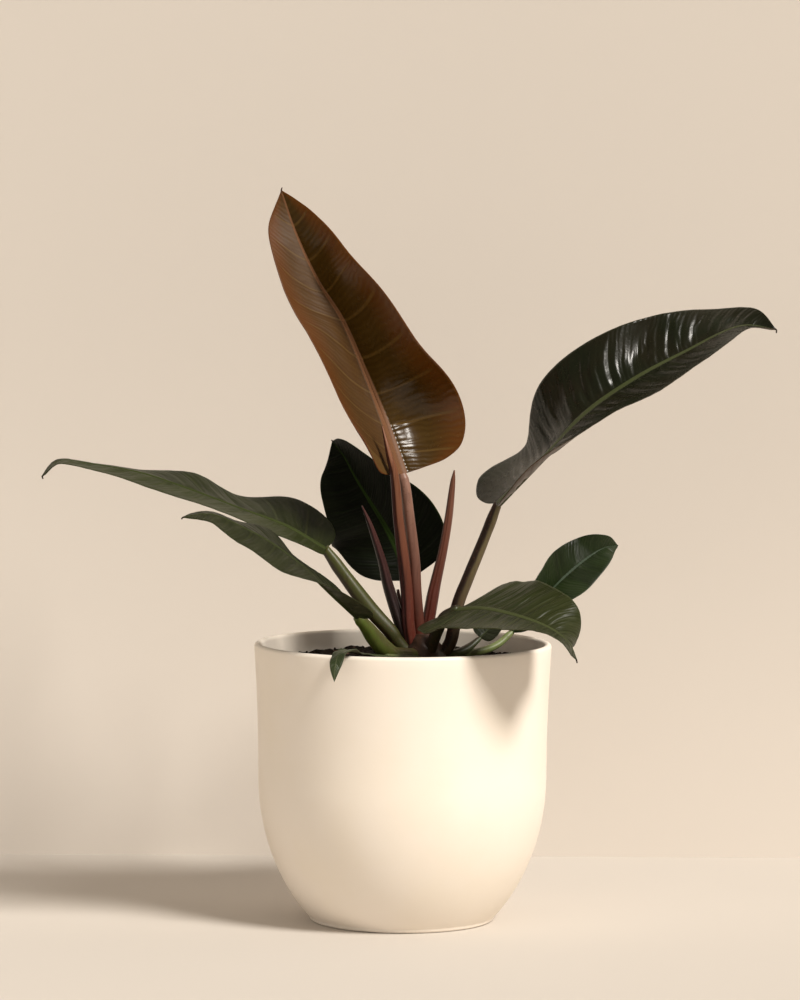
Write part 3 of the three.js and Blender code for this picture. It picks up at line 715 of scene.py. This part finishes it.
def blade_faces(leaf, blade, look, seed):
    """The blade's upper and lower surfaces in millimetres, with the values its colours follow."""
    points, follow, rib = blade_grid(leaf, blade)
    normal = face_normals(points)
    along, rim, near_rib = follow["along"], follow["rim"], follow["rib"]
    full = fullness(leaf)
    length = length_along(leaf["midrib"])
    aside = follow["across"] * leaf["half_width"]
    reach = np.abs(aside)
    slant = np.where(aside < 0, *leaf["slant"])
    phase = look.veins * np.clip(along - slant * reach / length, 0, 1) ** VEIN_CROWDING
    swell = np.abs(np.sin(np.pi * phase)) ** 0.8 - 0.6
    inner = smooth_step(near_rib, 1.1, 2.6) * smooth_step(reach, 0, 8 * full)
    outer = 1 - 0.85 * smooth_step(rim, 0.4, 1)
    ends = smooth_step(along, 0.0, 0.06) * (1 - smooth_step(along, 0.86, 0.98))
    lumps = noise_over(points, 16, seed) * 0.35 + noise_over(points, 6, seed + 7) * 0.08
    pleats = look.pleat / MM * np.sin(2 * np.pi * PLEATS * phase + noise_over(points, 30, seed) * 3)
    relief = (look.quilt / MM * swell + pleats + lumps * full) * inner * outer * ends
    for place, side, size, height in leaf["swells"]:
        apart = ((along - place) * length) ** 2 + (aside - side) ** 2
        relief = relief + height * np.exp(-apart / size ** 2) * smooth_step(reach, 1, SWELL_REACH)
    middle = points + normal * relief[..., None]
    normal = face_normals(middle)

    skin = blade.margin / MM + (blade.thickness - blade.margin) / MM * (1 - smooth_step(rim, 0.85, 1))
    dome = np.clip(1 - near_rib ** 2, 0, 1)
    groove = np.exp(-((near_rib - 1.15) / 0.16) ** 2)
    over = skin / 2 + rib * (0.24 * dome - 0.06 * groove)
    beneath = skin / 2 + rib * 0.6 * np.sqrt(dome)
    return middle + normal * over[..., None], middle - normal * beneath[..., None], follow


def shell(upper, lower, follow):
    """A closed shell with these two faces, and its corners' values as attributes."""
    rows, columns = upper.shape[:2]
    bm = bmesh.new()
    bmesh.ops.create_grid(bm, x_segments=columns - 1, y_segments=rows - 1, size=1)
    number = bm.verts.layers.int.new("number")
    for k, vert in enumerate(bm.verts):
        vert[number] = k
    bmesh.ops.solidify(bm, geom=bm.faces[:], thickness=0.1)
    order = np.array([vert[number] for vert in bm.verts])
    bm.verts.layers.int.remove(number)
    below = np.arange(len(order)) >= rows * columns
    upper, lower = (face.reshape(-1, 3)[order] * MM for face in (upper, lower))
    for vert, place in zip(bm.verts, np.where(below[:, None], lower, upper)):
        vert.co = place
    attach(bm, {key: values.reshape(-1)[order] for key, values in follow.items()})
    attach(bm, {"under": below.astype(float)})
    return bm


def leaf_material(name, look, leaf, blade):
    """A glossy blade with pale ribs, sunken side veins and a duller underside."""
    s = Surface(f"{name}_leaf")
    along, across, rim, rib, under = (
        s.attribute(key) for key in ("along", "across", "rim", "rib", "under"))
    length = length_along(leaf["midrib"])
    right = s.smooth(across, -0.02, 0.02)
    left_slant, right_slant = (each * leaf["half_width"] / length for each in leaf["slant"])
    slant = right * (right_slant - left_slant) + left_slant
    phase = s.math("MAXIMUM", along - abs(across) * slant, 0) ** VEIN_CROWDING * look.veins + 0.5
    between = abs(s.math("FRACT", phase) - 0.5)
    vein_width = VEIN_WIDTH * look.veins / length
    inside = 1 - s.smooth(rim, 0.75, 0.97)
    vein = (1 - s.smooth(between, vein_width, vein_width * 3)) * inside
    fine = s.math("SINE", (phase + s.noise(0.012) * 0.35) * (2 * math.pi * FINE_VEINS)) * 0.5 + 0.5
    cloud = s.smooth(s.noise(0.022, detail=2), 0.35, 0.65)
    # Painted shade: the right half takes the shade colour as far as the setting says, on top of the
    # random clouds.
    shade = cloud * (1 - look.split) + right * look.split
    face = s.mix(shade, look.face, look.shade)
    face = s.mix(s.smooth(rim, 0.45, 0.95) * look.blushing, face, look.blush)
    # Painted light: the swells' crests halfway between the veins are lightened towards the vein colour.
    face = s.mix(s.smooth(between, 0.1, 0.5) * 0.25 * look.glow, face, look.vein)
    face = s.mix(fine * 0.12, face, look.vein)
    face = s.mix(vein * 0.5, face, look.vein)
    back = s.mix(fine * 0.2 + vein * 0.4, look.under, look.rib)
    colour = s.mix(under, face, back)
    on_rib = 1 - s.smooth(rib, 0.8, 1.05)
    streak = s.noise(0.0015, s.place((1, 1, 0.15)), detail=2)
    colour = s.mix(on_rib * (0.75 + streak * 0.25), colour, look.rib)
    colour = s.mix(s.smooth(rim, 0.975, 0.99) * look.edge, colour, look.rib)
    colour = s.mix(s.smooth(along, 0.985, 1.0) * 0.85, colour, blade.tip)
    rough = s.noise(0.006, detail=4) * 0.12 + look.roughness + under * 0.15 + on_rib * 0.25
    rough = rough + (1 - right) * (0.4 * look.split * look.matte)
    relief = (fine * 0.7 - vein * 0.8) * (1 - on_rib) + s.noise(0.0012, detail=2) * 0.2
    normal = s.bump(relief, 0.16 * MM, 0.8)
    shiny = s.shine(colour, rough, normal, look.shine)
    if look.translucency == 0:
        return s.finish(shiny)
    through = s.node("ShaderNodeBsdfTranslucent", None, {"Color": s.mix(vein * 0.5, face, back)})
    return s.finish(s.node("ShaderNodeMixShader", None, {0: look.translucency, 1: shiny, 2: through}))


def tube(path, thickness, faces, shape, end=None):
    """A closed stalk along a path, with these many faces round and along it.

    shape gives the radius at shares along it and at angles round it. end: the directions across and
    away from the front that its head turns to.
    """
    sides, steps = faces
    bm = bmesh.new()
    bmesh.ops.create_grid(bm, x_segments=sides, y_segments=steps, size=1)
    share = np.linspace(0, 1, steps + 1)[:, None]
    angle = -np.linspace(-np.pi, np.pi, sides + 1)[None, :]
    share, angle = np.broadcast_arrays(share, angle)
    _, across, away = frames_at(path, share)
    if end is not None:
        blend = smooth_step(share, 0.85, 1)[..., None]
        across = unit(across * (1 - blend) + end[0] * blend)
        away = unit(away * (1 - blend) + end[1] * blend)
    radius = curve_at(thickness, share)[..., 0] * shape(share, angle)
    points = (midrib_at(path, share) + (radius * np.cos(angle))[..., None] * across
              + (radius * np.sin(angle))[..., None] * away).reshape(-1, 3) * MM
    for vert, place in zip(bm.verts, points):
        vert.co = place
    attach(bm, {"along": share, "side": np.cos(angle), "face": -np.sin(angle)})
    bmesh.ops.remove_doubles(bm, verts=bm.verts[:], dist=MERGE)
    bmesh.ops.holes_fill(bm, edges=[edge for edge in bm.edges if edge.is_boundary], sides=0)
    bmesh.ops.recalc_face_normals(bm, faces=bm.faces[:])
    return bm


def stalk_material(name, look):
    """A smooth waxy stalk that changes colour along it and on one side, with fine streaks and specks."""
    s = Surface(name)
    along, side, face = (s.attribute(key) for key in ("along", "side", "face"))
    streak = s.noise(0.0016, s.place((1, 1, 0.08)), detail=3)
    wide = s.noise(0.012, s.place((1, 1, 0.4)), detail=2)
    colour = s.mix(s.smooth(along + wide * 0.3, 0.3, 1.1), look.foot, look.head)
    # Painted shade: the side that faces this way is darkened towards the dark colour, as the side turned
    # from the light.
    turn = look.dark_side
    shade_facing = side * math.sin(turn) + face * math.cos(turn)
    dark = s.smooth(shade_facing + (wide - 0.5) * 0.9, look.dark_from, look.dark_from + 0.5)
    colour = s.mix(dark * look.dark_amount, colour, look.dark)
    colour = s.mix(s.smooth(streak, 0.45, 0.75) * 0.35, colour, look.dark)
    specks = s.smooth(s.noise(0.0011, detail=1), 0.62, 0.7)
    colour = s.mix(specks * look.specks, colour, look.speck)
    relief = streak * 0.7 + s.noise(0.0008, detail=2) * 0.3
    rough = look.roughness + wide * 0.12
    return s.finish(s.shine(colour, rough, s.bump(relief, 0.15 * MM, 0.8), 0.35))


def pot_radius(pot, height):
    """The pot's outer radius: an elliptical belly with a wall above it that opens slightly."""
    if height < pot.belly_height:
        drop = (pot.belly_height - height) / pot.belly_depth
        return pot.belly_radius * math.sqrt(1 - drop ** 2)
    rise = (height - pot.belly_height) / (POT_HIGH.z - pot.belly_height)
    return pot.belly_radius + (POT_HIGH.x - pot.belly_radius) * rise ** 2


def spun(profile, steps):
    """A body turned round Z from a profile of radius and height that starts and ends on the axis."""
    bm = bmesh.new()
    line = [bm.verts.new((radius, 0, height)) for radius, height in profile]
    edges = [bm.edges.new(pair) for pair in zip(line, line[1:])]
    bmesh.ops.spin(bm, geom=line + edges, cent=(0, 0, 0), axis=(0, 0, 1), angle=2 * math.pi,
                   steps=steps, use_merge=True)
    bmesh.ops.remove_doubles(bm, verts=bm.verts[:], dist=MERGE)
    bmesh.ops.recalc_face_normals(bm, faces=bm.faces[:])
    return bm


def pot_material(pot):
    s = Surface("pot_glaze")
    cloud = s.smooth(s.noise(0.05, detail=4), 0.35, 0.7)
    colour = s.mix(cloud * 0.35, pot.glaze, pot.glaze_shade)
    pits = s.smooth(s.noise(0.0016, detail=1), 0.7, 0.78)
    colour = s.mix(pits * 0.12, colour, pot.glaze_shade)
    relief = s.noise(0.0014, detail=3) * 0.5 + s.noise(0.02, detail=2) * 0.5
    rough = pot.roughness + s.noise(0.01, detail=3) * 0.1
    return s.finish(s.shine(colour, rough, s.bump(relief, 0.1 * MM, 0.4)))


class PLANT_OT_pot(Operator):
    """Turn the ceramic pot"""

    bl_idname = "plant.pot"
    bl_label = "Pot"

    def execute(self, context):
        pot = context.scene.plant.pot
        top = POT_HIGH.z
        lip = pot.wall / 2
        corner = pot.foot_corner

        def heights(low, high, count):
            return [low + (high - low) * (k / count) ** 1.5 for k in range(count + 1)]

        foot_radius = pot_radius(pot, corner)
        foot = [(0, 0)] + [(foot_radius - corner * (1 - math.sin(a)), corner * (1 - math.cos(a)))
                           for a in (math.pi / 2 * k / 5 for k in range(5))]
        outer = [(pot_radius(pot, z), z) for z in heights(corner, top - lip, 44)]
        centre = pot_radius(pot, top - lip) - lip
        arc = [(centre + lip * math.cos(a), top - lip + lip * math.sin(a))
               for a in (math.pi * k / 10 for k in range(1, 10))]
        inner = [(pot_radius(pot, z) - pot.wall, z) for z in heights(pot.floor, top - lip, 24)]
        profile = foot + outer + arc + inner[::-1] + [(0, pot.floor)]
        finish_piece(spun(profile, POT_SIDES), "pot_shell", pot_material(pot), "pot")
        return FINISHED


def soil_height(soil, x, y):
    """The height of the soil's lumpy surface, in metres."""
    x, y = x / MM, y / MM
    lumps = math.sin(x * 0.23 + 1.3) * math.cos(y * 0.19 - 0.4) + 0.6 * math.sin(x * 0.41 + y * 0.37)
    heap = soil.heap * min(max(0.4 + y / 100, 0), 1)
    return soil.level + soil.lump * lumps / 1.6 + heap


def soil_material(name, soil):
    s = Surface(name)
    grain = s.noise(0.0022, detail=5, roughness=0.65)
    patch = s.smooth(s.noise(0.012, detail=2), 0.4, 0.7)
    colour = s.mix(s.smooth(grain, 0.45, 0.75) * 0.7 + patch * 0.2, soil.dark, soil.light)
    bark = s.smooth(s.noise(0.004, detail=0), 0.72, 0.76)
    colour = s.mix(bark * 0.8, colour, soil.bark)
    return s.finish(s.shine(colour, grain * 0.15 + 0.8, s.bump(grain, 1.2 * MM, 1.0), 0.1))


class PLANT_OT_soil(Operator):
    """Fill the pot with crumbly soil"""

    bl_idname = "plant.soil"
    bl_label = "Soil"

    def execute(self, context):
        pot = context.scene.plant.pot
        soil = context.scene.plant.soil
        foot = pot.floor + SOIL_FOOT
        side = [foot + (soil.level - foot) * (k / 7) ** 1.5 for k in range(8)]
        profile = [(0, foot)] + [(pot_radius(pot, z) - pot.wall - SOIL_GAP, z) for z in side]
        rim = profile[-1][0]
        profile += [(rim * k / SOIL_RINGS, soil.level) for k in range(SOIL_RINGS - 1, -1, -1)]
        bm = spun(profile, POT_SIDES)
        for vert in bm.verts:
            if vert.co.z > soil.level - 0.1 * MM:
                place = vert.co / MM
                rough = 1.1 * noise.noise(place / 4) + 0.7 * noise.noise(place / 1.7)
                vert.co.z = soil_height(soil, vert.co.x, vert.co.y) + rough * MM
        finish_piece(bm, "soil_bed", soil_material("soil_surface", soil), "potting_soil")

        chance = random.Random(CRUMB_SEED)
        crumbs = bmesh.new()
        for k in range(soil.crumbs):
            radius = rim * math.sqrt(chance.random()) * 0.98
            angle = chance.uniform(0, 2 * math.pi)
            x, y = radius * math.cos(angle), radius * math.sin(angle)
            size = soil.crumb_size * (0.35 + 0.65 * chance.random() ** 2)
            place = Matrix.Translation((x, y, soil_height(soil, x, y) + 0.4 * size))
            turn = Matrix.Rotation(chance.uniform(0, math.pi), 4,
                                   Vector((chance.random(), chance.random(), 1)))
            scale = Matrix.Diagonal((1, chance.uniform(0.5, 0.9), chance.uniform(0.4, 0.8), 1))
            made = bmesh.ops.create_icosphere(crumbs, subdivisions=2, radius=size,
                                              matrix=place @ turn @ scale)
            for vert in made["verts"]:
                swell = noise.noise(vert.co / (0.9 * size)) * 0.45
                vert.co += (vert.co - place.translation) * swell
        finish_piece(crumbs, "soil_crumbs", soil_material("soil_crumb", soil), "potting_soil")
        return FINISHED


class PLANT_OT_crown(Operator):
    """Stand the short stem crown in the soil"""

    bl_idname = "plant.crown"
    bl_label = "Stem crown"

    def execute(self, context):
        look = context.scene.plant.crown_look
        side = curve_at(CROWN_PROFILE, np.linspace(0, 1, CROWN_ROWS))
        profile = [(0, side[0, 1])] + [tuple(point) for point in side] + [(0, side[-1, 1])]
        bm = spun([(radius * MM, height * MM) for radius, height in profile], CROWN_SIDES)
        low, high = side[0, 1] * MM, side[-1, 1] * MM
        around = [math.atan2(vert.co.y, vert.co.x) for vert in bm.verts]
        attach(bm, {"along": [(vert.co.z - low) / (high - low) for vert in bm.verts],
                    "side": [-math.cos(angle) for angle in around],
                    "face": [-math.sin(angle) for angle in around]})
        for vert, angle in zip(bm.verts, around):
            swell = 0.06 * noise.noise(vert.co / (5 * MM)) + 0.03 * math.sin(angle * 5 + vert.co.z / MM)
            vert.co.x *= 1 + swell
            vert.co.y *= 1 + swell
        bmesh.ops.translate(bm, verts=bm.verts[:], vec=CROWN_CENTRE * MM)
        finish_piece(bm, "crown", stalk_material("crown_skin", look), "stem_crown")
        return FINISHED


class PLANT_OT_stalk(Operator):
    """Grow the petiole of one leaf"""

    bl_idname = "plant.stalk"
    bl_label = "Petiole"
    leaf: StringProperty(name="Leaf", description="Whose petiole to grow", default="upright")

    def execute(self, context):
        leaf = row_of(LEAVES, self.leaf)
        look = getattr(context.scene.plant, f"{self.leaf}_stalk_look")
        path = [*leaf["petiole"], leaf["midrib"][0]]
        _, across, away = frames_at(leaf["midrib"], np.zeros(1))

        def shape(share, angle):
            flat = 1 - 0.12 * np.exp(-((np.cos(angle - look.groove) - 1) / 0.12) ** 2)
            knee = 1 + 0.1 * np.exp(-((share - 0.93) / 0.04) ** 2)
            return flat * knee * (1 + 0.02 * np.sin(3 * angle + 9 * share))

        bm = tube(path, leaf["thickness"], STALK_FACES, shape, (across[0], away[0]))
        finish_piece(bm, f"{self.leaf}_stalk", stalk_material(f"{self.leaf}_stalk_skin", look),
                     f"{self.leaf}_petiole")
        return FINISHED


class PLANT_OT_leaf(Operator):
    """Grow the blade of one leaf"""

    bl_idname = "plant.leaf"
    bl_label = "Leaf"
    leaf: StringProperty(name="Leaf", description="Which blade to grow", default="upright")

    def execute(self, context):
        leaf = row_of(LEAVES, self.leaf)
        plant = context.scene.plant
        look = getattr(plant, f"{self.leaf}_look")
        seed = list(LEAVES).index(self.leaf) * LEAF_SEED
        bm = shell(*blade_faces(leaf, plant.blade, look, seed))
        finish_piece(bm, f"{self.leaf}_leaf", leaf_material(self.leaf, look, leaf, plant.blade),
                     f"{self.leaf}_blade")
        return FINISHED


class PLANT_OT_sheath(Operator):
    """Grow one of the pointed sheaths between the petioles"""

    bl_idname = "plant.sheath"
    bl_label = "Sheath"
    sheath: StringProperty(name="Sheath", description="Which sheath to grow", default="front")

    def execute(self, context):
        sheath = row_of(SHEATHS, self.sheath)
        look = getattr(context.scene.plant, f"{self.sheath}_sheath_look")

        def shape(share, angle):
            keel = 0.12 * np.exp(-((np.cos(angle - look.groove - np.pi) - 1) / 0.05) ** 2)
            seam = -0.16 * np.exp(-((np.cos(angle - look.groove) - 1) / 0.02) ** 2)
            return 1 + keel + seam + 0.05 * np.cos(2 * (angle - look.groove))

        bm = tube(sheath["path"], sheath["thickness"], SHEATH_FACES, shape)
        finish_piece(bm, f"{self.sheath}_cataphyll", stalk_material(f"{self.sheath}_sheath_skin", look),
                     f"{self.sheath}_sheath")
        return FINISHED


def paper_material(stage, see_through):
    """Matte paper. see_through leaves out its back, so that the plant shows from behind too."""
    s = Surface("backdrop_paper" if see_through else "floor_paper")
    tone = s.noise(0.3, detail=3) * 0.04 + 0.98
    colour = stage.paper
    if see_through:
        # Painted light: the backdrop lighter towards the floor, fading out at WALL_FADE.
        height = s.node("ShaderNodeSeparateXYZ", None, {0: s.place()}, output="Z")
        colour = s.mix(s.smooth(height, 0, WALL_FADE), stage.backdrop_painted_light, stage.backdrop)
    colour = s.node("ShaderNodeVectorMath", {"operation": "SCALE"}, {0: colour, "Scale": tone})
    shader = s.shine(colour, 0.9, s.bump(s.noise(0.004, detail=2), 0.05 * MM, 0.3))
    if see_through:
        behind = s.node("ShaderNodeNewGeometry", output="Backfacing")
        clear = s.node("ShaderNodeBsdfTransparent")
        shader = s.node("ShaderNodeMixShader", None, {0: behind, 1: shader, 2: clear})
    return s.finish(shader)


class PLANT_OT_stage(Operator):
    """Set up the camera, the light, the floor and the backdrop"""

    bl_idname = "plant.stage"
    bl_label = "Studio"

    def execute(self, context):
        stage = context.scene.plant.stage
        scene = context.scene
        scene.view_settings.view_transform = "Standard"
        scene.view_settings.look = "None"

        lens = bpy.data.cameras.new("studio_camera")
        lens.lens = stage.focal_length
        lens.clip_end = 20
        camera = new_object("studio_camera", lens)
        tilt = Matrix.Rotation(math.pi / 2 - stage.pitch, 4, "X") @ Matrix.Rotation(stage.roll, 4, "Z")
        camera.matrix_world = Matrix.Translation(stage.eye) @ tilt
        scene.camera = camera

        self.lamp("key_light", stage.key_from, stage.key_size, stage.key_strength)
        soft = self.lamp("soft_light", stage.soft_from, stage.soft_size, stage.soft_strength)
        soft.visible_glossy = False

        world = bpy.data.worlds.new("studio_fill")
        world.use_nodes = True
        fill = world.node_tree.nodes["Background"].inputs
        fill["Color"].default_value = (*stage.fill_colour, 1)
        fill["Strength"].default_value = stage.fill_strength
        scene.world = world

        self.paper_sheet("studio_floor", [(-PAPER_REACH, 0), (PAPER_REACH, 0)],
                         paper_material(stage, False))
        wall = self.paper_sheet("studio_backdrop", [(WALL_PLACE, -MM), (WALL_PLACE, WALL_HEIGHT)],
                                paper_material(stage, True))
        wall.visible_shadow = False
        return FINISHED

    def lamp(self, name, direction, size, strength):
        """A light that comes from this direction and looks this wide."""
        stage = bpy.context.scene.plant.stage
        sun = bpy.data.lights.new(name, "SUN")
        sun.energy = strength
        sun.color = stage.key_colour
        sun.angle = size
        lamp = new_object(name, sun)
        lamp.rotation_euler = Vector(direction).to_track_quat("Z", "Y").to_euler()
        return lamp

    def paper_sheet(self, name, ends, material):
        """A wide sheet between two places, each a depth and a height."""
        bm = bmesh.new()
        bmesh.ops.create_grid(bm, x_segments=1, y_segments=1, size=1)
        for k, vert in enumerate(bm.verts):
            depth, height = ends[k // 2]
            vert.co = (vert.co.x * PAPER_REACH, depth, height - 0.1 * MM)
        sheet = mesh_object(bm, name, material)
        return sheet


class PLANT_PT_panel(Panel):
    """The plant's sizes and colours"""

    bl_idname = "PLANT_PT_panel"
    bl_label = "Philodendron"
    bl_space_type = "VIEW_3D"
    bl_region_type = "UI"
    bl_category = "Plant"

    def draw(self, context):
        plant = context.scene.plant
        for title in GROUPS:
            group = getattr(plant, title)
            box = self.layout.box()
            box.label(text=title.replace("_", " ").capitalize())
            for field in group.bl_rna.properties:
                if field.identifier not in ("name", "rna_type"):
                    box.prop(group, field.identifier)
        for operator in (PLANT_OT_pot, PLANT_OT_soil, PLANT_OT_crown, PLANT_OT_stage):
            self.layout.operator(operator.bl_idname)
        for name in LEAVES:
            row = self.layout.row()
            row.operator("plant.stalk", text=f"{name} petiole").leaf = name
            row.operator("plant.leaf", text=f"{name} leaf").leaf = name
        for name in SHEATHS:
            self.layout.operator("plant.sheath", text=f"{name} sheath").sheath = name


GROUPS = ["pot", "soil", "blade", *LOOKS, "stage"]
CLASSES = [PotSettings, SoilSettings, BladeSettings, StageSettings, *LOOKS.values(), PlantSettings,
           PLANT_OT_pot, PLANT_OT_soil, PLANT_OT_crown, PLANT_OT_stalk, PLANT_OT_leaf, PLANT_OT_sheath,
           PLANT_OT_stage, PLANT_PT_panel]


def register():
    for each in CLASSES:
        bpy.utils.register_class(each)
    bpy.types.Scene.plant = PointerProperty(type=PlantSettings)


def unregister():
    del bpy.types.Scene.plant
    for each in reversed(CLASSES):
        bpy.utils.unregister_class(each)


def main():
    register()
    bpy.ops.plant.pot()
    bpy.ops.plant.soil()
    bpy.ops.plant.crown()
    for name in LEAVES:
        bpy.ops.plant.stalk(leaf=name)
        bpy.ops.plant.leaf(leaf=name)
    for name in SHEATHS:
        bpy.ops.plant.sheath(sheath=name)
    bpy.ops.plant.stage()


if __name__ == "__main__":
    main()
